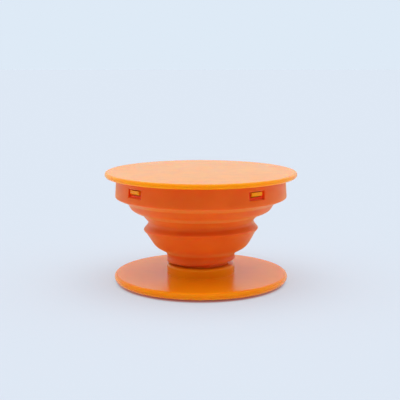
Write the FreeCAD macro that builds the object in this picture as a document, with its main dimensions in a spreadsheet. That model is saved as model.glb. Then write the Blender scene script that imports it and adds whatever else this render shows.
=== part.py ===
import FreeCAD, Part
import os
import Sketcher

# A collapsible phone grip, drawn out and standing on its base: a disc snapped onto a soft bellows,
# which turns on the snap head of a base disc. The axis is Z and the floor is z = 0.
doc = FreeCAD.newDocument("phone_grip")

# Driving dimensions, in millimetres and degrees.
driving_sizes = {
    # release liner and adhesive pad
    "linerThickness": 0.12,
    "linerOverhang": 0.3,
    "tabWidth": 7.0,
    "tabReach": 1.2,
    "tabRound": 1.0,
    "padThickness": 0.8,
    # base disc, with a recess below for the pad
    "baseRadius": 18.37,
    "baseThickness": 1.5,
    "baseUpperRound": 0.62,
    "baseLowerRound": 0.8,
    "baseRimWidth": 1.97,
    "recessDepth": 0.52,
    "recessClearance": 0.2,
    # slotted stem in the middle of the base, with a snap head over the floor of the bellows
    "stemRadius": 4.3,
    "stemWall": 1.2,
    "headOverlap": 0.75,
    "headLand": 0.3,
    "headLead": 0.75,
    "headTipInset": 0.35,
    "slotWidth": 1.4,
    "slotCount": 4,
    "turnClearance": 0.12,
    "seatClearance": 0.05,
    # boss around the stem, a ring that the bellows stands on
    "moatWidth": 1.1,
    "bossWall": 1.82,
    "bossHeight": 2.0,
    "bossRound": 0.45,
    "bossFootRound": 0.1,
    # floor and neck of the bellows; from here each reach goes outwards and each rise upwards
    "floorThickness": 0.95,
    "neckOverhang": 0.06,
    "footInset": 1.45,
    "footHeight": 0.63,
    "neckRound": 0.25,
    "neckTaper": 0.2,
    "neckHeight": 1.69,
    # lower bowl, from the neck up to its bead
    "lowerBowlReach": 2.72,
    "lowerBowlRise": 1.52,
    "lowerWallReach": 1.67,
    "lowerWallRise": 2.74,
    "beadReach": 0.74,
    "beadRise": 0.83,
    "beadRound": 0.35,
    # fold between the bowls
    "foldDepth": 1.33,
    "foldRise": 1.59,
    "foldRound": 0.85,
    # upper bowl, from the fold up to the ring
    "upperRootReach": 1.5,
    "upperRootRise": 1.61,
    "upperBowlReach": 2.36,
    "upperBowlRise": 1.06,
    "upperWallReach": 0.76,
    "upperWallRise": 1.5,
    # ring at the top of the bellows, on a sloping skirt
    "skirtReach": 2.53,
    "skirtRise": 1.15,
    "ringFootRound": 0.3,
    "ringTaper": 0.27,
    "ringHeight": 4.18,
    # rounding and walls of the bellows
    "lowerHeelRound": 3.5,
    "upperHeelRound": 2.0,
    "neckRootRound": 1.2,
    "upperRootRound": 0.5,
    "skirtRootRound": 1.2,
    "neckWall": 1.0,
    "bowlWall": 0.95,
    "hingeWall": 0.75,
    "ringWall": 1.4,
    # windows in the ring, one for each hook of the top disc, in opposite pairs
    "windowWidth": 3.9,
    "windowHeight": 1.7,
    "windowDrop": 1.18,
    "hookPairs": 2,
    "hookSpread": 85.6,
    "hookTurn": 85.3,
    # top disc with its locating rim and hooks
    "discRadius": 20.15,
    "discThickness": 1.03,
    "discRound": 0.45,
    "hookWall": 1.1,
    "hookClearance": 0.2,
    "hookSideClearance": 0.65,
    "barbProud": 0.08,
    "barbClearance": 0.15,
    "barbLand": 0.7,
    "tipClearance": 0.15,
    "rimHeight": 0.7,
}

# Edges whose places agree to this, in millimetres, are the same edge.
same_place = 1e-4

sheet = doc.addObject("Spreadsheet::Sheet", "sizes")
for row, (alias, size) in enumerate(driving_sizes.items(), 1):
    sheet.set(f"A{row}", alias)
    sheet.set(f"B{row}", str(size))
    sheet.setAlias(f"B{row}", alias)
doc.recompute()


def sum_of(*aliases):
    """Expression that adds cells of the sheet; a minus sign before an alias takes it away."""
    terms = [f"- sizes.{alias[1:]}" if alias[0] == "-" else f"+ sizes.{alias}" for alias in aliases]
    return " ".join(terms).removeprefix("+ ")


def chord_angle(width, radius):
    """Expression for the angle that a chord spans at a radius."""
    return f"2 * asin(({width}) / (2 * ({radius})))"


def origin_feature(body, role):
    return next(feature for feature in body.Origin.OriginFeatures if feature.Role == role)


def new_body(label):
    body = doc.addObject("PartDesign::Body", label)
    body.Label = label
    return body


def new_sketch(body, name, plane):
    sketch = body.newObject("Sketcher::SketchObject", name)
    sketch.AttachmentSupport = [(origin_feature(body, plane), "")]
    sketch.MapMode = "FlatFace"
    return sketch


def number(sketch, expression):
    return float(sketch.evalExpression(expression))


def bind(sketch, constraint, name, expression):
    """Add a dimension to a sketch and tie it to an expression of the sheet."""
    index = sketch.addConstraint(constraint)
    sketch.renameConstraint(index, name)
    sketch.setExpression(f"Constraints.{name}", expression)


def place_corner(sketch, line, radius, height):
    """Fix the start of a line of the outline by its radius and its height."""
    across = Sketcher.Constraint("DistanceX", -1, 1, line, 1, number(sketch, radius))
    bind(sketch, across, f"radius{line}", radius)
    up = Sketcher.Constraint("DistanceY", -1, 1, line, 1, number(sketch, height))
    bind(sketch, up, f"height{line}", height)


def draw_outline(sketch, points):
    """Closed outline of straight lines; line number i starts at point i."""
    count = len(points)
    for index, point in enumerate(points):
        sketch.addGeometry(Part.LineSegment(point, points[(index + 1) % count]))
    for index in range(count):
        sketch.addConstraint(Sketcher.Constraint("Coincident", index, 2, (index + 1) % count, 1))


def section(body, name, corners, plane="XZ_Plane"):
    """Sketch of a closed outline whose corners start with a pair of expressions."""
    sketch = new_sketch(body, name, plane)
    draw_outline(sketch, [FreeCAD.Vector(number(sketch, x), number(sketch, y), 0) for x, y, *_ in corners])
    for index, (x, y, *_) in enumerate(corners):
        place_corner(sketch, index, x, y)
    return sketch


def circle(body, name, radius):
    sketch = new_sketch(body, name, "XY_Plane")
    sketch.addGeometry(Part.Circle(FreeCAD.Vector(), FreeCAD.Vector(0, 0, 1), number(sketch, radius)))
    sketch.addConstraint(Sketcher.Constraint("Coincident", 0, 3, -1, 1))
    bind(sketch, Sketcher.Constraint("Radius", 0, number(sketch, radius)), "radius", radius)
    return sketch


def revolve(body, kind, name, sketch, angle="360"):
    """Turn a section about Z, by equal angles to both sides of the sketch."""
    feature = body.newObject(f"PartDesign::{kind}", name)
    feature.Profile = sketch
    feature.ReferenceAxis = (sketch, ["V_Axis"])
    feature.Midplane = True
    feature.setExpression("Angle", angle)
    doc.recompute()
    return feature


def pad(body, name, sketch, length):
    feature = body.newObject("PartDesign::Pad", name)
    feature.Profile = sketch
    feature.setExpression("Length", length)
    doc.recompute()
    return feature


def repeat(body, name, feature, count):
    """Copies of a feature, evenly spaced about Z."""
    pattern = body.newObject("PartDesign::PolarPattern", name)
    pattern.Originals = [feature]
    pattern.Axis = (origin_feature(body, "Z_Axis"), [""])
    pattern.Angle = 360
    pattern.setExpression("Occurrences", count)
    body.Tip = pattern
    doc.recompute()


def round_corners(body, sketch, roundings):
    """Round the circular edges that corners of a turned section leave; corner number to radius."""
    for radius in dict.fromkeys(roundings.values()):
        wanted = [sketch.Geometry[corner].StartPoint for corner, own in roundings.items() if own == radius]
        base = body.Tip
        edges = []
        for index, edge in enumerate(base.Shape.Edges, 1):
            if edge.Curve.TypeId != "Part::GeomCircle":
                continue
            place = FreeCAD.Vector(edge.Curve.Radius, edge.Curve.Center.z, 0)
            if any(place.isEqual(point, same_place) for point in wanted):
                edges.append(f"Edge{index}")
        fillet = body.newObject("PartDesign::Fillet", "Rounding")
        fillet.Base = (base, edges)
        fillet.setExpression("Radius", radius)
        doc.recompute()


def turn_section(body, name, corners):
    """Solid of revolution; a corner may name its rounding after its radius and height."""
    sketch = section(body, f"{name}Section", corners)
    revolve(body, "Revolution", name, sketch)
    roundings = {index: corner[2] for index, corner in enumerate(corners) if len(corner) > 2}
    round_corners(body, sketch, roundings)


def set_height(body, height):
    body.setExpression("Placement.Base.z", height)


def swing(sketch, turn):
    """Swing an upright sketch about Z."""
    rotation = FreeCAD.Rotation(FreeCAD.Vector(0, 1, 0), number(sketch, turn))
    sketch.AttachmentOffset = FreeCAD.Placement(FreeCAD.Vector(), rotation)
    sketch.setExpression("AttachmentOffset.Rotation.Angle", turn)


# Outer face of the bellows above the foot of its neck, one straight stretch to a line:
# its step out, its step up, the wall behind it and the rounding at its upper end.
bellows_steps = [
    ("-neckTaper", "neckHeight", "neckWall", "neckRootRound"),
    ("lowerBowlReach", "lowerBowlRise", "bowlWall", "lowerHeelRound"),
    ("lowerWallReach", "lowerWallRise", "bowlWall", None),
    ("beadReach", "beadRise", None, "beadRound"),
    ("-foldDepth", "foldRise", "hingeWall", "foldRound"),
    ("upperRootReach", "upperRootRise", "hingeWall", "upperRootRound"),
    ("upperBowlReach", "upperBowlRise", "bowlWall", "upperHeelRound"),
    ("upperWallReach", "upperWallRise", "bowlWall", "skirtRootRound"),
    ("skirtReach", "skirtRise", "hingeWall", "ringFootRound"),
    ("-ringTaper", "ringHeight", "ringWall", None),
]
reaches = [reach for reach, _, _, _ in bellows_steps]
rises = [rise for _, rise, _, _ in bellows_steps]

# Radii that pieces share.
recess_radius = sum_of("baseRadius", "-baseRimWidth")
pad_radius = f"{recess_radius} - sizes.recessClearance"
floor_hole_radius = sum_of("stemRadius", "turnClearance")
boss_bore = sum_of("stemRadius", "moatWidth")
boss_radius = f"{boss_bore} + sizes.bossWall"
neck_radius = f"{boss_radius} + sizes.neckOverhang"
foot_radius = f"{neck_radius} - sizes.footInset"
ring_top_radius = f"{neck_radius} + {sum_of(*reaches)}"

# Directions of a pair of hooks, about Z from +X.
hook_turns = ["sizes.hookTurn - sizes.hookSpread / 2", "sizes.hookTurn + sizes.hookSpread / 2"]

# Heights of the pieces above the floor.
pad_height = "sizes.linerThickness"
base_height = sum_of("linerThickness", "padThickness", "-recessDepth")
bellows_height = f"{base_height} + {sum_of('baseThickness', 'bossHeight', 'seatClearance')}"
disc_height = f"{bellows_height} + {sum_of('footHeight', *rises, 'seatClearance')}"


def make_liner():
    """Film disc with a short pull tab at the back."""
    body = new_body("release_liner")
    radius = f"{pad_radius} + sizes.linerOverhang"
    pad(body, "Film", circle(body, "FilmCircle", radius), "sizes.linerThickness")
    reach = f"{radius} + sizes.tabReach"
    half = "sizes.tabWidth / 2"
    corners = [(f"-{half}", "0"), (half, "0"), (half, reach), (f"-{half}", reach)]
    tab = pad(body, "Tab", section(body, "TabOutline", corners, "XY_Plane"), "sizes.linerThickness")
    tips = [f"Edge{index}" for index, edge in enumerate(tab.Shape.Edges, 1)
            if edge.BoundBox.ZLength > 0 and edge.BoundBox.YMin > number(body, radius)]
    rounding = body.newObject("PartDesign::Fillet", "TabRound")
    rounding.Base = (tab, tips)
    rounding.setExpression("Radius", "sizes.tabRound")
    doc.recompute()
    return body


def make_pad():
    """Double-sided adhesive pad, seated in the recess of the base."""
    body = new_body("adhesive_pad")
    pad(body, "Foam", circle(body, "FoamCircle", pad_radius), "sizes.padThickness")
    set_height(body, pad_height)
    return body


def make_base():
    """Base disc with its boss and snap head, one moulding. Its own zero is the rim's underside."""
    body = new_body("base_disc")
    boss_top = sum_of("baseThickness", "bossHeight")
    stem_bore = sum_of("stemRadius", "-stemWall")
    head_radius = f"{floor_hole_radius} + sizes.headOverlap"
    head_seat = f"{boss_top} + {sum_of('seatClearance', 'floorThickness', 'seatClearance')}"
    head_edge = f"{head_seat} + sizes.headLand"
    head_top = f"{head_edge} + sizes.headLead"
    corners = [
        ("0", "sizes.recessDepth"),
        (recess_radius, "sizes.recessDepth"),
        (recess_radius, "0"),
        ("sizes.baseRadius", "0", "sizes.baseLowerRound"),
        ("sizes.baseRadius", "sizes.baseThickness", "sizes.baseUpperRound"),
        (boss_radius, "sizes.baseThickness", "sizes.bossFootRound"),
        (boss_radius, boss_top, "sizes.bossRound"),
        (boss_bore, boss_top),
        (boss_bore, "sizes.baseThickness"),
        ("sizes.stemRadius", "sizes.baseThickness"),
        ("sizes.stemRadius", head_seat),
        (head_radius, head_seat),
        (head_radius, head_edge),
        (sum_of("stemRadius", "-headTipInset"), head_top),
        (stem_bore, head_top),
        (stem_bore, "sizes.baseThickness"),
        ("0", "sizes.baseThickness"),
    ]
    turn_section(body, "Disc", corners)

    # slots from the tip of the head down to the disc part the stem into springy claws
    half = "sizes.slotWidth / 2"
    reach = f"({head_radius} + {boss_bore}) / 2"
    corners = [("0", f"-{half}"), (reach, f"-{half}"), (reach, half), ("0", half)]
    outline = section(body, "SlotOutline", corners, "XY_Plane")
    outline.setExpression("AttachmentOffset.Base.z", head_top)
    slot = body.newObject("PartDesign::Pocket", "Slot")
    slot.Profile = outline
    slot.setExpression("Length", f"{head_top} - sizes.baseThickness")
    doc.recompute()
    repeat(body, "Slots", slot, "sizes.slotCount")
    set_height(body, base_height)
    return body


def make_bellows():
    """Soft bellows, one moulding. Its own zero is the underside of its floor."""
    body = new_body("bellows")
    outer = [
        (floor_hole_radius, "0"),
        (foot_radius, "0"),
        (foot_radius, "sizes.footHeight"),
        (neck_radius, "sizes.footHeight"),
    ]
    neck_line = len(outer) - 1
    for count in range(1, len(bellows_steps) + 1):
        outer.append((f"{neck_radius} + {sum_of(*reaches[:count])}", sum_of("footHeight", *rises[:count])))
    # each wall lies inside its outer face; the bead is solid, so its underside has no wall of its own
    walls = [(0, "floorThickness")]
    walls += [(index, wall) for index, (_, _, wall, _) in enumerate(bellows_steps, neck_line) if wall]

    sketch = new_sketch(body, "WallSection", "XZ_Plane")
    points = [FreeCAD.Vector(number(sketch, r), number(sketch, z), 0) for r, z in outer]
    inner_lines = []
    for index, wall in walls:
        along = (points[index + 1] - points[index]).normalize()
        inward = FreeCAD.Vector(-along.y, along.x, 0)
        inner_lines.append((points[index] + inward * number(sketch, f"sizes.{wall}"), along))
    hole_line = (points[0], FreeCAD.Vector(0, 1, 0))
    top_line = (points[-1], FreeCAD.Vector(1, 0, 0))
    around = [top_line] + inner_lines[::-1] + [hole_line]
    for (start, along), (other, other_along) in zip(around, around[1:]):
        across = along.x * other_along.y - along.y * other_along.x
        gap = other - start
        points.append(start + along * ((gap.x * other_along.y - gap.y * other_along.x) / across))
    draw_outline(sketch, points)
    for index, (radius, height) in enumerate(outer):
        place_corner(sketch, index, radius, height)
    top_edge = len(outer) - 1
    for step, (index, wall) in enumerate(walls[::-1], 1):
        inner_line = top_edge + step
        sketch.addConstraint(Sketcher.Constraint("Parallel", index, inner_line))
        apart = Sketcher.Constraint("Distance", inner_line, 2, index, number(sketch, f"sizes.{wall}"))
        bind(sketch, apart, f"wall{index}", f"sizes.{wall}")
    sketch.addConstraint(Sketcher.Constraint("Horizontal", top_edge))
    sketch.addConstraint(Sketcher.Constraint("Vertical", len(points) - 1))
    doc.recompute()
    revolve(body, "Revolution", "Wall", sketch)

    roundings = {neck_line: "sizes.neckRound"}
    for corner, (_, _, _, rounding) in enumerate(bellows_steps, neck_line + 1):
        if rounding:
            roundings[corner] = f"sizes.{rounding}"
    # the inner side of the fold is concentric with the outer one, so the hinge keeps its wall
    inner_walls = [index for index, _ in walls[::-1]]
    inner_fold = top_edge + 1 + inner_walls.index(reaches.index("-foldDepth") + neck_line)
    roundings[inner_fold] = sum_of("foldRound", "hingeWall")
    round_corners(body, sketch, roundings)

    ring_top = sum_of("footHeight", *rises)
    window_top = f"{ring_top} - sizes.windowDrop"
    window_foot = f"{window_top} - sizes.windowHeight"
    inside = f"{ring_top_radius} - 2 * sizes.ringWall"
    outside = f"{ring_top_radius} + sizes.ringWall"
    corners = [(inside, window_foot), (outside, window_foot), (outside, window_top), (inside, window_top)]
    width_angle = chord_angle("sizes.windowWidth", ring_top_radius)
    for turn in hook_turns:
        opening = section(body, "WindowSection", corners)
        swing(opening, turn)
        window = revolve(body, "Groove", "Window", opening, width_angle)
        repeat(body, "Windows", window, "sizes.hookPairs")
    set_height(body, bellows_height)
    return body


def make_disc():
    """Top disc with a locating rim and hooks, one moulding. Its own zero is its underside."""
    body = new_body("top_disc")
    hook_outer = f"{ring_top_radius} - sizes.ringWall - sizes.hookClearance"
    hook_inner = f"{hook_outer} - sizes.hookWall"
    corners = [
        ("0", "0"),
        (hook_inner, "0"),
        (hook_inner, "-sizes.rimHeight"),
        (hook_outer, "-sizes.rimHeight"),
        (hook_outer, "0"),
        ("sizes.discRadius", "0", "sizes.discRound"),
        ("sizes.discRadius", "sizes.discThickness", "sizes.discRound"),
        ("0", "sizes.discThickness"),
    ]
    turn_section(body, "Disc", corners)

    # the barb catches under the upper edge of its window, and its slope leads it in
    window_top = f"-({sum_of('windowDrop', 'seatClearance')})"
    barb_radius = f"{ring_top_radius} + sizes.barbProud"
    barb_top = f"{window_top} - sizes.barbClearance"
    barb_edge = f"{barb_top} - sizes.barbLand"
    tip = f"{window_top} - sizes.windowHeight + sizes.tipClearance"
    corners = [
        (hook_inner, "0"),
        (hook_inner, tip),
        (hook_outer, tip),
        (barb_radius, barb_edge),
        (barb_radius, barb_top),
        (hook_outer, barb_top),
        (hook_outer, "0"),
    ]
    hook_width = "sizes.windowWidth - 2 * sizes.hookSideClearance"
    for turn in hook_turns:
        profile = section(body, "HookSection", corners)
        swing(profile, turn)
        hook = revolve(body, "Revolution", "Hook", profile, chord_angle(hook_width, barb_radius))
        repeat(body, "Hooks", hook, "sizes.hookPairs")
    set_height(body, disc_height)
    return body


parts = [make_liner(), make_pad(), make_base(), make_bellows(), make_disc()]
doc.recompute()

for item in doc.Objects:
    if "Invalid" in item.State or "Error" in item.State:
        raise RuntimeError(f"{item.Label} failed: {item.State}")
for part in parts:
    if part.Shape.isNull() or not part.Shape.isValid() or len(part.Shape.Solids) != 1:
        raise RuntimeError(f"{part.Label} is not one sound solid")

os.makedirs("parts", exist_ok=True)
for part in parts:
    part.Shape.exportStep(f"parts/{part.Label}.step")
    print(part.Label, round(part.Shape.Volume, 2), "mm3, top at", round(part.Shape.BoundBox.ZMax, 3))
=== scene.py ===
import math

import bpy
import numpy as np
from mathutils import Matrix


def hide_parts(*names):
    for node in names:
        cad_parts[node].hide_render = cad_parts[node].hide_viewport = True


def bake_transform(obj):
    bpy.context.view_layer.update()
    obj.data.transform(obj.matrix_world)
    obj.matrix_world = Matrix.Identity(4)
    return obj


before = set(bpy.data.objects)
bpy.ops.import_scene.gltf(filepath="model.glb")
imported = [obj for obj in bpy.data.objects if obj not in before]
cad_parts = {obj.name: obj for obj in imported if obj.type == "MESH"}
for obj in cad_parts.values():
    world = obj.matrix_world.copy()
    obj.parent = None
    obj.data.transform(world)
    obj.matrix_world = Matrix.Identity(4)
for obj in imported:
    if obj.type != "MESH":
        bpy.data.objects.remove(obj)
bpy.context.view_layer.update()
mm = 0.001
tiny = 1e-6              # slack when lengths are compared
sharpAngle = 50          # degrees between two faces from which their edge is shaded sharp
noiseRange = (0.3, 0.7)  # most values of a noise lie between these
print("frame loaded:", sorted(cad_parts))


# Surfaces

# The corners of a closed section, each turned into an arc that touches both its sides.
# The arc's centre lies on the bisector at radius over sine of half the angle, and its points
# swing from the first touching point to the second in equal turns.
def roundCorners(corners, arcSteps):
    table = np.array(corners, float)
    point, radius = table[:, :2], table[:, 2:]
    toBefore = np.roll(point, 1, axis=0) - point
    toAfter = np.roll(point, -1, axis=0) - point
    toBefore /= np.linalg.norm(toBefore, axis=1, keepdims=True)
    toAfter /= np.linalg.norm(toAfter, axis=1, keepdims=True)
    half = 0.5 * np.arccos(np.sum(toBefore * toAfter, axis=1, keepdims=True))
    bisector = toBefore + toAfter
    bisector /= np.linalg.norm(bisector, axis=1, keepdims=True)
    centre = point + bisector * radius / np.sin(half)
    first = point + toBefore * radius / np.tan(half) - centre
    last = point + toAfter * radius / np.tan(half) - centre
    turn = (np.pi - 2 * half)[:, :, None]
    share = np.linspace(0, 1, arcSteps + 1)[None, :, None]
    swing = np.sin((1 - share) * turn) * first[:, None] + np.sin(share * turn) * last[:, None]
    return (centre[:, None] + swing / np.sin(turn)).reshape(-1, 2)


# A closed outline with a point added wherever a side beyond the given radius crosses the height.
def cutAtHeight(outline, height, beyond):
    after = np.roll(outline, -1, axis=0)
    crosses = (outline[:, 1] - height) * (after[:, 1] - height) < 0
    crosses &= np.minimum(outline[:, 0], after[:, 0]) > beyond
    where = np.flatnonzero(crosses)
    share = (height - outline[where, 1]) / (after[where, 1] - outline[where, 1])
    added = outline[where] + share[:, None] * (after[where] - outline[where])
    return np.insert(outline, where + 1, added, axis=0)


# A closed outline whose long sides are divided evenly into steps no longer than the given one.
def divideSides(outline, longest):
    after = np.roll(outline, -1, axis=0)
    pieces = np.ceil(np.linalg.norm(after - outline, axis=1) / longest - tiny).astype(int)
    pieces = np.maximum(pieces, 1)
    side = np.repeat(np.arange(len(outline)), pieces)
    place = np.arange(pieces.sum()) - np.repeat(np.cumsum(pieces) - pieces, pieces)
    share = (place / pieces[side])[:, None]
    return outline[side] * (1 - share) + after[side] * share


# The outline carried round the Z axis: radius times cosine and sine of the angle, height as it is.
def turnRound(outline, angles):
    radius, height = outline[:, :1], outline[:, 1:]
    return np.stack([radius * np.cos(angles), radius * np.sin(angles),
                     height + 0 * angles], axis=-1)


# Points moved towards the Z axis by a depth: X and Y times one less the depth over the radius.
def moveInward(points, depth):
    share = 1 - depth / np.hypot(points[:, 0], points[:, 1])
    return np.column_stack([points[:, 0] * share, points[:, 1] * share, points[:, 2]])


# Zero before the first height, one after the second, and three squares less two cubes between.
def easeStep(height, ends):
    share = np.clip((height - ends[0]) / (ends[1] - ends[0]), 0, 1)
    return share * share * (3 - 2 * share)


# Four corners of every cell of a patch of numbered points, outward side out.
def patchCells(patch):
    return np.stack([patch[:-1, :-1], patch[:-1, 1:], patch[1:, 1:], patch[1:, :-1]], axis=-1)


# Quads from one chain of points to another of the same length.
def bridge(near, far):
    return np.stack([near[:-1], near[1:], far[1:], far[:-1]], axis=-1)


# Sill, head and sides that join the edge of one patch to the edge of another behind it.
def tunnel(near, far):
    return np.concatenate([bridge(near[0], far[0]), bridge(near[-1], far[-1])[:, ::-1],
                           bridge(near[:, 0], far[:, 0])[:, ::-1], bridge(near[:, -1], far[:, -1])])


# A piece at the origin from points in mm and quads that name them.
def makeMesh(name, points, quads, material):
    mesh = bpy.data.meshes.new(name)
    mesh.vertices.add(len(points))
    mesh.vertices.foreach_set("co", (points * mm).astype(np.float32).ravel())
    mesh.loops.add(quads.size)
    mesh.loops.foreach_set("vertex_index", quads.astype(np.int32).ravel())
    mesh.polygons.add(len(quads))
    mesh.polygons.foreach_set("loop_start", np.arange(0, quads.size, quads.shape[1], dtype=np.int32))
    mesh.update(calc_edges=True)
    mesh.validate()
    mesh.shade_smooth()
    mesh.set_sharp_from_angle(angle=math.radians(sharpAngle))
    mesh.materials.append(material)
    piece = bpy.data.objects.new(name, mesh)
    bpy.context.scene.collection.objects.link(piece)
    return piece


# One number for each point or edge of a mesh.
def addAttribute(mesh, name, domain, values):
    mesh.attributes.new(name, "FLOAT", domain).data.foreach_set("value", values.astype(np.float32))


# Shader nodes

# A socket takes the output of another node, or a number or colour of its own.
def feed(tree, socket, value):
    if isinstance(value, bpy.types.NodeSocket):
        tree.links.new(value, socket)
    else:
        socket.default_value = value


# A noise that reads the piece's own coordinates; size is the width of its blotches in mm.
def blotches(tree, size, detail):
    place = tree.nodes.new("ShaderNodeTexCoord")
    noise = tree.nodes.new("ShaderNodeTexNoise")
    noise.inputs["Scale"].default_value = 1 / (size * mm)
    noise.inputs["Detail"].default_value = detail
    tree.links.new(place.outputs["Object"], noise.inputs["Vector"])
    return noise.outputs["Fac"]


# The first colour up to the lower end, the second from the upper end, blended between.
def blendColours(tree, factor, ends, first, second):
    ramp = tree.nodes.new("ShaderNodeValToRGB")
    for stop, place, colour in zip(ramp.color_ramp.elements, ends, (first, second)):
        stop.position = place
        stop.color = (*colour, 1)
    tree.links.new(factor, ramp.inputs["Fac"])
    return ramp.outputs["Color"]


# The range of a noise stretched to run from low to high.
def spread(tree, factor, low, high):
    spreader = tree.nodes.new("ShaderNodeMapRange")
    names = ("From Min", "From Max", "To Min", "To Max")
    for name, value in zip(names, (*noiseRange, low, high)):
        spreader.inputs[name].default_value = value
    tree.links.new(factor, spreader.inputs["Value"])
    return spreader.outputs["Result"]


# A bump as deep as given, in mm.
def raiseGrain(tree, factor, depth):
    bump = tree.nodes.new("ShaderNodeBump")
    bump.inputs["Strength"].default_value = 1.0
    bump.inputs["Distance"].default_value = depth * mm
    tree.links.new(factor, bump.inputs["Height"])
    return bump.outputs["Normal"]


# The colour gives way to a painted glow, a deep colour that stands in for light and shade, where the piece's
# attribute is one.
def paintGlowWhere(tree, attribute, colour, paintedRed):
    marked = tree.nodes.new("ShaderNodeAttribute")
    marked.attribute_name = attribute
    mix = tree.nodes.new("ShaderNodeMix")
    mix.data_type = "RGBA"
    sockets = {socket.identifier: socket for socket in (*mix.inputs, *mix.outputs)}
    feed(tree, sockets["Factor_Float"], marked.outputs["Fac"])
    feed(tree, sockets["A_Color"], colour)
    feed(tree, sockets["B_Color"], (*paintedRed, 1))
    return sockets["Result_Color"]


# A sum, product or other operation on two values, each a number or the output of another node.
def mathNode(tree, operation, first, second):
    node = tree.nodes.new("ShaderNodeMath")
    node.operation = operation
    feed(tree, node.inputs[0], first)
    feed(tree, node.inputs[1], second)
    return node.outputs["Value"]


# The first shader where the share is zero, the second where it is one.
def mixShaders(tree, share, first, second):
    mix = tree.nodes.new("ShaderNodeMixShader")
    feed(tree, mix.inputs["Fac"], share)
    feed(tree, mix.inputs[1], first)
    feed(tree, mix.inputs[2], second)
    return mix.outputs["Shader"]


# A shader of the kind that the node's name gives, in one colour.
def plainShader(tree, kind, colour):
    node = tree.nodes.new(kind)
    feed(tree, node.inputs["Color"], colour)
    return node.outputs[0]


# One where the camera, gloss or a clear body looks along the ray, zero for light that bounces.
def seenRays(tree):
    path = tree.nodes.new("ShaderNodeLightPath").outputs
    direct = mathNode(tree, "MAXIMUM", path["Is Camera Ray"], path["Is Glossy Ray"])
    return mathNode(tree, "MAXIMUM", direct, path["Is Transmission Ray"])


# Finishes. A noise is (width of its blotches in mm, detail), gloss is the least and the most roughness,
# the grain's depth is in mm, and sockets are the shader's own.
discFinish = {
    "colourNoise": (9.0, 2.0),
    "glossNoise": (2.5, 4.0),
    "gloss": (0.2, 0.27),
    "grainNoise": (0.5, 3.0),
    "grainDepth": 0.0012,
    "sockets": {"IOR": 1.45,
                "Specular Tint": (1.0, 0.45, 0.15, 1),
                "Subsurface Weight": 0.6,
                "Subsurface Radius": (1.0, 0.22, 0.03),
                "Subsurface Scale": 1.0 * mm},
}
topFinish = {
    **discFinish,
    "name": "glossyOrangePlastic",
    "colours": ((0.92, 0.32, 0.002), (0.96, 0.34, 0.003)),
}
baseFinish = {
    **discFinish,
    "name": "glossyDeepOrangePlastic",
    "colours": ((0.92, 0.275, 0.002), (0.96, 0.295, 0.003)),
}
rubberFinish = {
    "name": "satinOrangeRubber",
    "colours": ((0.78, 0.12, 0.009), (0.84, 0.14, 0.012)),
    "colourNoise": (6.0, 2.0),
    # painted glow: inside the windows the rubber is coloured a deeper red, which stands in for light that
    # comes through the wall into the shade there
    "paintedGlowWhere": "paintedWindowGlow",
    "paintedGlowColour": (0.97, 0.05, 0.001),
    "glossNoise": (1.8, 4.0),
    "gloss": (0.36, 0.46),
    "grainNoise": (0.22, 3.0),
    "grainDepth": 0.002,
    "sockets": {"IOR": 1.45,
                "Specular Tint": (1.0, 0.4, 0.2, 1),
                "Sheen Weight": 0.5,
                "Sheen Roughness": 0.4,
                "Sheen Tint": (0.95, 0.68, 0.18, 1),
                "Subsurface Weight": 0.8,
                "Subsurface Radius": (1.0, 0.15, 0.02),
                "Subsurface Scale": 0.5 * mm},
}
foamFinish = {
    "name": "paleFoam",
    "colours": ((0.62, 0.61, 0.58), (0.72, 0.71, 0.68)),
    "colourNoise": (0.6, 5.0),
    "glossNoise": (0.4, 2.0),
    "gloss": (0.8, 0.95),
    "grainNoise": (0.25, 4.0),
    "grainDepth": 0.05,
    "sockets": {},
}
filmFinish = {
    "name": "waxyFilm",
    "colours": ((0.72, 0.7, 0.64), (0.8, 0.78, 0.72)),
    "colourNoise": (4.0, 3.0),
    "glossNoise": (1.5, 3.0),
    "gloss": (0.4, 0.55),
    "grainNoise": (1.2, 3.0),
    "grainDepth": 0.004,
    "sockets": {},
}


# One noise blends the colours, one varies the gloss and one raises the grain.
def makeFinish(parts):
    material = bpy.data.materials.new(parts["name"])
    material.use_nodes = True
    tree = material.node_tree
    shader = tree.nodes["Principled BSDF"].inputs
    colour = blendColours(tree, blotches(tree, *parts["colourNoise"]), noiseRange, *parts["colours"])
    # painted glow: where the piece marks it, the colour gives way to a painted deeper red
    if "paintedGlowWhere" in parts:
        colour = paintGlowWhere(tree, parts["paintedGlowWhere"], colour, parts["paintedGlowColour"])
    feed(tree, shader["Base Color"], colour)
    feed(tree, shader["Roughness"], spread(tree, blotches(tree, *parts["glossNoise"]), *parts["gloss"]))
    feed(tree, shader["Normal"], raiseGrain(tree, blotches(tree, *parts["grainNoise"]), parts["grainDepth"]))
    for name, value in parts["sockets"].items():
        feed(tree, shader[name], value)
    return material


# The two discs, the pad and the liner are the frame's own solids.
for node, finish in (("top_disc", topFinish), ("base_disc", baseFinish),
                     ("adhesive_pad", foamFinish), ("release_liner", filmFinish)):
    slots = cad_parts[node].data.materials
    slots.clear()
    slots.append(makeFinish(finish))
print("discs, pad and liner finished")


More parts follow.
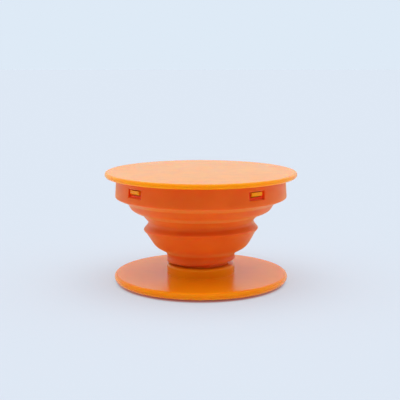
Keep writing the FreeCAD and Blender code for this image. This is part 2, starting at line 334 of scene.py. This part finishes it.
# The bellows: a stepped section turned round the axis, with two pairs of windows through its ring.
# A step of the outer face is (out, up, wall behind it, rounding at its end outside, inside), in mm;
# a wall of zero leaves the step solid. Lengths are in mm and angles in degrees.
bellows = {
    "holeRim": (4.42, 3.95),  # radius and height
    "holeRounding": 0.15,
    "steps": [(1.41, 0.0, 0.95, 0.15, 0.3),     # floor
              (0.0, 0.63, 0.0, 0.1, 0.0),       # foot that stands on the boss
              (1.45, 0.0, 0.0, 0.25, 0.0),      # underside of the neck
              (-0.2, 1.69, 1.0, 1.2, 0.4),      # neck
              (2.72, 1.52, 0.95, 3.5, 2.5),     # lower bowl
              (1.67, 2.74, 0.95, 0.8, 0.4),     # its wall
              (0.74, 0.83, 0.0, 0.35, 0.0),     # bead
              (-1.33, 1.59, 0.75, 0.85, 1.6),   # fold
              (1.5, 1.61, 0.75, 0.5, 0.4),      # root of the upper bowl
              (2.36, 1.06, 0.95, 2.0, 1.0),     # upper bowl
              (0.76, 1.5, 0.95, 1.2, 0.4),      # its wall
              (2.53, 1.15, 0.75, 0.3, 0.3),     # skirt
              (-0.27, 4.18, 1.4, 0.15, 0.15)],  # ring
    "arcSteps": 7,
    "longestStep": 0.35,
    "wallColumns": 52,       # columns of the grid between two windows
    "ringStart": 16.0,       # radius beyond which the section is the ring
    "windowBottom": 19.57,
    "windowTop": 21.27,
    "windowWidth": 3.9,
    "windowRadius": 17.76,   # where the width of a window and its slot is measured
    "windowTurn": 85.3,      # from the X axis to the middle of the first pair
    "windowSpread": 85.6,    # between the two windows of a pair
    "windowColumns": 8,
    "windowBevel": 0.18,
    "bevelSteps": 2,
    # a lip stands back in each window, with a slot that its hook just fills; the slot's sill
    # falls inwards
    "lipRecess": 0.5,
    "lipWall": 0.6,
    "slotWidth": 2.72,
    "slotBottom": 20.12,
    "slotTop": 21.16,
    "slotFall": 0.25,
    # heights between which the wall goes over from the bellows body to the top
    "foldStart": 5.0,
    "foldEnd": 19.5,
    # slight leans of the soft wall: rise to the right and to the front, and the heights between
    # which it eases in and out; and the radii between which all of them ease in
    "leans": [(2.4, 1.7, (4.0, 4.5), (4.9, 6.3)),
              (1.0, 0.0, (8.8, 11.0), (13.2, 15.4)),
              (0.0, 2.2, (8.8, 11.0), (11.4, 13.0))],
    "leanReach": (5.2, 6.1),
}


# The closed section: the outer corners add up the steps; the inner ones are where the outer lines,
# each moved in by its wall, cross one another, the ring's top and the rim of the hole.
def wallSection(parts):
    steps = np.array(parts["steps"])
    outside = np.concatenate([[parts["holeRim"]], parts["holeRim"] + np.cumsum(steps[:, :2], axis=0)])
    backed = np.flatnonzero(steps[:, 2])
    along = steps[backed, :2] / np.linalg.norm(steps[backed, :2], axis=1, keepdims=True)
    inward = np.stack([-along[:, 1], along[:, 0]], axis=1)
    start = outside[backed] + inward * steps[backed, 2:3]
    start = np.concatenate([[outside[0]], start, [outside[-1]]])
    along = np.concatenate([[[0.0, 1.0]], along, [[-1.0, 0.0]]])
    gap, ahead = start[1:] - start[:-1], along[1:]
    across = along[:-1, 0] * ahead[:, 1] - along[:-1, 1] * ahead[:, 0]
    share = (gap[:, 0] * ahead[:, 1] - gap[:, 1] * ahead[:, 0]) / across
    inside = start[:-1] + along[:-1] * share[:, None]
    outsideRound = np.concatenate([[parts["holeRounding"]], steps[:, 3]])
    insideRound = np.concatenate([[parts["holeRounding"]], steps[backed, 4]])
    return np.concatenate([np.column_stack([outside, outsideRound]),
                           np.column_stack([inside, insideRound])[::-1]])


# Heights at which the ring is cut for a window and its slot, upwards.
def windowHeights(parts):
    return np.array([parts[edge] for edge in ("windowBottom", "slotBottom", "slotTop", "windowTop")])


# The section with round corners and short sides, and with points at the windows' heights.
def wallOutline(parts):
    outline = roundCorners(wallSection(parts), parts["arcSteps"])
    for height in windowHeights(parts):
        outline = cutAtHeight(outline, height, parts["ringStart"])
    return divideSides(outline, parts["longestStep"])


# Angles of the grid's columns: over each window its own arc, with columns at the sides of its slot,
# then the wall up to the next window.
def columnAngles(parts):
    halfArc = math.asin(parts["windowWidth"] / 2 / parts["windowRadius"])
    halfSlot = math.asin(parts["slotWidth"] / 2 / parts["windowRadius"])
    pair = math.radians(parts["windowTurn"]) + np.radians([-0.5, 0.5]) * parts["windowSpread"]
    middles = np.concatenate([pair, pair + np.pi])
    gaps = np.diff(np.append(middles, middles[0] + 2 * np.pi)) - 2 * halfArc
    count = parts["windowColumns"]
    across = np.interp(np.arange(count), [0, 1, count - 1, count],
                       [-halfArc, -halfSlot, halfSlot, halfArc])
    between = np.linspace(0, 1, parts["wallColumns"], endpoint=False)
    arcs = np.concatenate([np.tile(across, (len(middles), 1)), halfArc + gaps[:, None] * between], axis=1)
    return (middles[:, None] + arcs).ravel()


# Each point rises by its X and by its minus Y times the tangents of the lean, eased in and out
# by its height and in by its radius.
def leanOver(points, parts):
    height = points[..., 2].copy()
    reach = easeStep(np.hypot(points[..., 0], points[..., 1]), parts["leanReach"])
    for right, front, start, end in parts["leans"]:
        eased = reach * easeStep(height, start) * (1 - easeStep(height, end))
        toRight, toFront = math.tan(math.radians(right)), math.tan(math.radians(front))
        points[..., 2] += eased * (points[..., 0] * toRight - points[..., 1] * toFront)
    return points


# Rows of the ring's outer and inner faces from the windows' bottom to their top, both upwards.
def windowRows(outline, parts):
    level = outline[:, 0] > parts["ringStart"]
    level &= outline[:, 1] > parts["windowBottom"] - tiny
    level &= outline[:, 1] < parts["windowTop"] + tiny
    middle = (outline[level, 0].min() + outline[level, 0].max()) / 2
    outer = np.flatnonzero(level & (outline[:, 0] > middle))
    inner = np.flatnonzero(level & (outline[:, 0] < middle))[::-1]
    return outer, inner


# The lip's two faces in one window: the ring's outer points moved in by the recess, and those by the
# wall, with the heights at the slot's bottom lowered by its fall.
def lipPoints(face, parts):
    front = moveInward(face, parts["lipRecess"])
    rear = moveInward(front, parts["lipWall"])
    heights = windowHeights(parts)
    rear[:, 2] = np.interp(rear[:, 2], heights, heights - [0, parts["slotFall"], 0, 0])
    return np.concatenate([front, rear])


# One on every edge whose two ends are both on the rim of a window, for the bevel.
def rimWeights(mesh, rims):
    onRim = np.zeros(len(mesh.vertices), bool)
    onRim[rims] = True
    ends = np.empty(2 * len(mesh.edges), np.int32)
    mesh.edges.foreach_get("vertices", ends)
    return onRim[ends.reshape(-1, 2)].all(axis=1)


# The grid of the turned section, less the cells of the windows, plus a lip and its slot in each.
def makeBellows(parts):
    outline = wallOutline(parts)
    points = leanOver(turnRound(outline, columnAngles(parts)), parts)
    rows, columns = points.shape[:2]
    points = points.reshape(-1, 3)
    grid = np.arange(len(points)).reshape(rows, columns)
    outer, inner = windowRows(outline, parts)
    # the slot's points in a window's patch, and the cells that the slot leaves of the lip
    slotEnds = np.array([parts["slotBottom"], parts["slotTop"]]) - tiny
    slotBottom, slotTop = np.searchsorted(outline[outer, 1], slotEnds)
    slot = np.s_[slotBottom:slotTop + 1, 1:-1]
    lip = np.ones((len(outer) - 1, parts["windowColumns"]), bool)
    lip[slotBottom:slotTop, 1:-1] = False
    kept = np.ones((rows, columns), bool)
    walls, rims = [], []
    for first in range(0, columns, parts["windowColumns"] + parts["wallColumns"]):
        side = np.arange(first, first + parts["windowColumns"] + 1)
        face, back = grid[np.ix_(outer, side)], grid[np.ix_(inner, side)]
        kept[np.ix_(outer[:-1], side[:-1])] = False
        kept[np.ix_(inner[1:], side[:-1])] = False
        front = len(points) + np.arange(face.size).reshape(face.shape)
        rear = front + face.size
        points = np.concatenate([points, lipPoints(points[face.ravel()], parts)])
        walls += [tunnel(face, front), tunnel(front[slot], rear[slot]), tunnel(rear, back),
                  patchCells(front)[lip], patchCells(rear)[lip][:, ::-1]]
        rims += [face[0], face[-1], face[:, 0], face[:, -1]]
    closed = np.pad(grid, (0, 1), mode="wrap")
    quads = np.concatenate([patchCells(closed)[kept], *walls])
    piece = makeMesh("bellowsSkin", points, quads, makeFinish(rubberFinish))
    addAttribute(piece.data, "bevel_weight_edge", "EDGE", rimWeights(piece.data, np.concatenate(rims)))
    # the points of the lips and slots are marked for the painted red glow inside the windows
    addAttribute(piece.data, rubberFinish["paintedGlowWhere"], "POINT", np.arange(len(points)) >= grid.size)
    bevel = piece.modifiers.new("windowEdges", "BEVEL")
    bevel.limit_method = "WEIGHT"
    bevel.width = parts["windowBevel"] * mm
    bevel.segments = parts["bevelSteps"]
    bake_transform(piece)
    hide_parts("bellows")
    print("bellows made:", rows, "rows,", columns, "columns,", len(quads), "quads")


makeBellows(bellows)


# Floor, light and camera

background = (0.730, 0.823, 0.923)  # seen behind the object and in its gloss

# Lengths in mm.
ground = {
    "size": 6000.0,
    "drop": 0.02,                   # how far it lies below the liner
    "bounce": (0.93, 0.95, 0.97),   # colour for the light that it throws back
    "colour": (0.62, 0.67, 0.755),  # colour that is seen
    "even": 0.45,                   # share of what is seen that takes no shadow
    "paintedContactShade": 0.6,                 # reach of the painted shadow, a dark orange line with painted bounce light close under the object
    "paintedShadeFade": (0.46, 0.7),     # openness between which that painted shadow line fades out
    # colour of the painted shadow and painted orange bounce light, emitted close under the object
    "paintedShadeColour": (0.6, 0.06, 0.01),
}


# The floor is matte and bounces nearly white light. Rays that see it find its pale colour, a share of
# it even, so the shadow is a soft one; close under the object that share turns a dark orange, a painted
# shadow with painted orange bounce light. From below it is clear, also for the light of a ray that has
# come through it.
def makeFloor(parts):
    material = bpy.data.materials.new("paleFloor")
    material.use_nodes = True
    tree = material.node_tree
    tree.nodes.clear()
    # painted shadow: the floor's occlusion picks the emitted dark orange close under the object
    paintedContactShade = tree.nodes.new("ShaderNodeAmbientOcclusion")
    paintedContactShade.inputs["Distance"].default_value = parts["paintedContactShade"] * mm
    paintedShadeTint = blendColours(tree, paintedContactShade.outputs["AO"], parts["paintedShadeFade"],
                        parts["paintedShadeColour"], background)
    bounce = plainShader(tree, "ShaderNodeBsdfDiffuse", (*parts["bounce"], 1))
    matte = plainShader(tree, "ShaderNodeBsdfDiffuse", (*parts["colour"], 1))
    even = plainShader(tree, "ShaderNodeEmission", paintedShadeTint)
    clear = plainShader(tree, "ShaderNodeBsdfTransparent", (1, 1, 1, 1))
    seen = mixShaders(tree, parts["even"], matte, even)
    above = mixShaders(tree, seenRays(tree), bounce, seen)
    facing = tree.nodes.new("ShaderNodeNewGeometry")
    path = tree.nodes.new("ShaderNodeLightPath")
    below = mathNode(tree, "MAXIMUM", facing.outputs["Backfacing"], path.outputs["Transparent Depth"])
    out = tree.nodes.new("ShaderNodeOutputMaterial")
    feed(tree, out.inputs["Surface"], mixShaders(tree, below, above, clear))
    half, level = parts["size"] / 2, -parts["drop"]
    corners = np.array([[-half, -half, level], [half, -half, level],
                        [half, half, level], [-half, half, level]])
    floor = makeMesh("floor", corners, np.array([[0, 1, 2, 3]]), material)


sky = {
    "low": 0.1,       # strength all round
    "high": 3.45,     # added overhead
    "gather": 4.0,    # power of the height that gathers it there
    "sides": 0.95,    # added at both sides
}


# The sky is a plain soft dome, the same below as above, brighter overhead and to both sides: low, plus
# high times a power of the height, plus sides times the square of the sideways share. What the
# camera sees, and what gloss mirrors, is the even pale background.
def makeSky(parts):
    world = bpy.data.worlds.new("softDome")
    bpy.context.scene.world = world
    world.use_nodes = True
    tree = world.node_tree
    tree.nodes.clear()
    place = tree.nodes.new("ShaderNodeTexCoord")
    split = tree.nodes.new("ShaderNodeSeparateXYZ")
    tree.links.new(place.outputs["Generated"], split.inputs["Vector"])
    sideways, upward = split.outputs["X"], split.outputs["Z"]
    height = mathNode(tree, "POWER", mathNode(tree, "ABSOLUTE", upward, 0), parts["gather"])
    overhead = mathNode(tree, "MULTIPLY", height, parts["high"])
    sides = mathNode(tree, "MULTIPLY", mathNode(tree, "MULTIPLY", sideways, sideways), parts["sides"])
    strength = mathNode(tree, "ADD", overhead, mathNode(tree, "ADD", sides, parts["low"]))
    dome = tree.nodes.new("ShaderNodeBackground")
    feed(tree, dome.inputs["Strength"], strength)
    seen = plainShader(tree, "ShaderNodeBackground", (*background, 1))
    out = tree.nodes.new("ShaderNodeOutputWorld")
    feed(tree, out.inputs["Surface"], mixShaders(tree, seenRays(tree), dome.outputs["Background"], seen))


# Lengths in mm; the pitch is downwards, in degrees.
eye = {
    "place": (-0.19, -184.0, 47.3),
    "pitch": 9.25,
    "lens": 79.4,
    "sensor": 36.0,
    "clipStart": 10.0,
}


def makeCamera(parts):
    data = bpy.data.cameras.new("photoEye")
    data.lens = parts["lens"]
    data.sensor_width = parts["sensor"]
    data.clip_start = parts["clipStart"] * mm
    camera = bpy.data.objects.new("photoEye", data)
    camera.location = [value * mm for value in parts["place"]]
    camera.rotation_euler = (math.radians(90 - parts["pitch"]), 0, 0)
    bpy.context.scene.collection.objects.link(camera)
    bpy.context.scene.camera = camera


makeFloor(ground)
makeSky(sky)
makeCamera(eye)
bpy.context.scene.view_settings.view_transform = "Standard"
print("floor, sky and camera made")
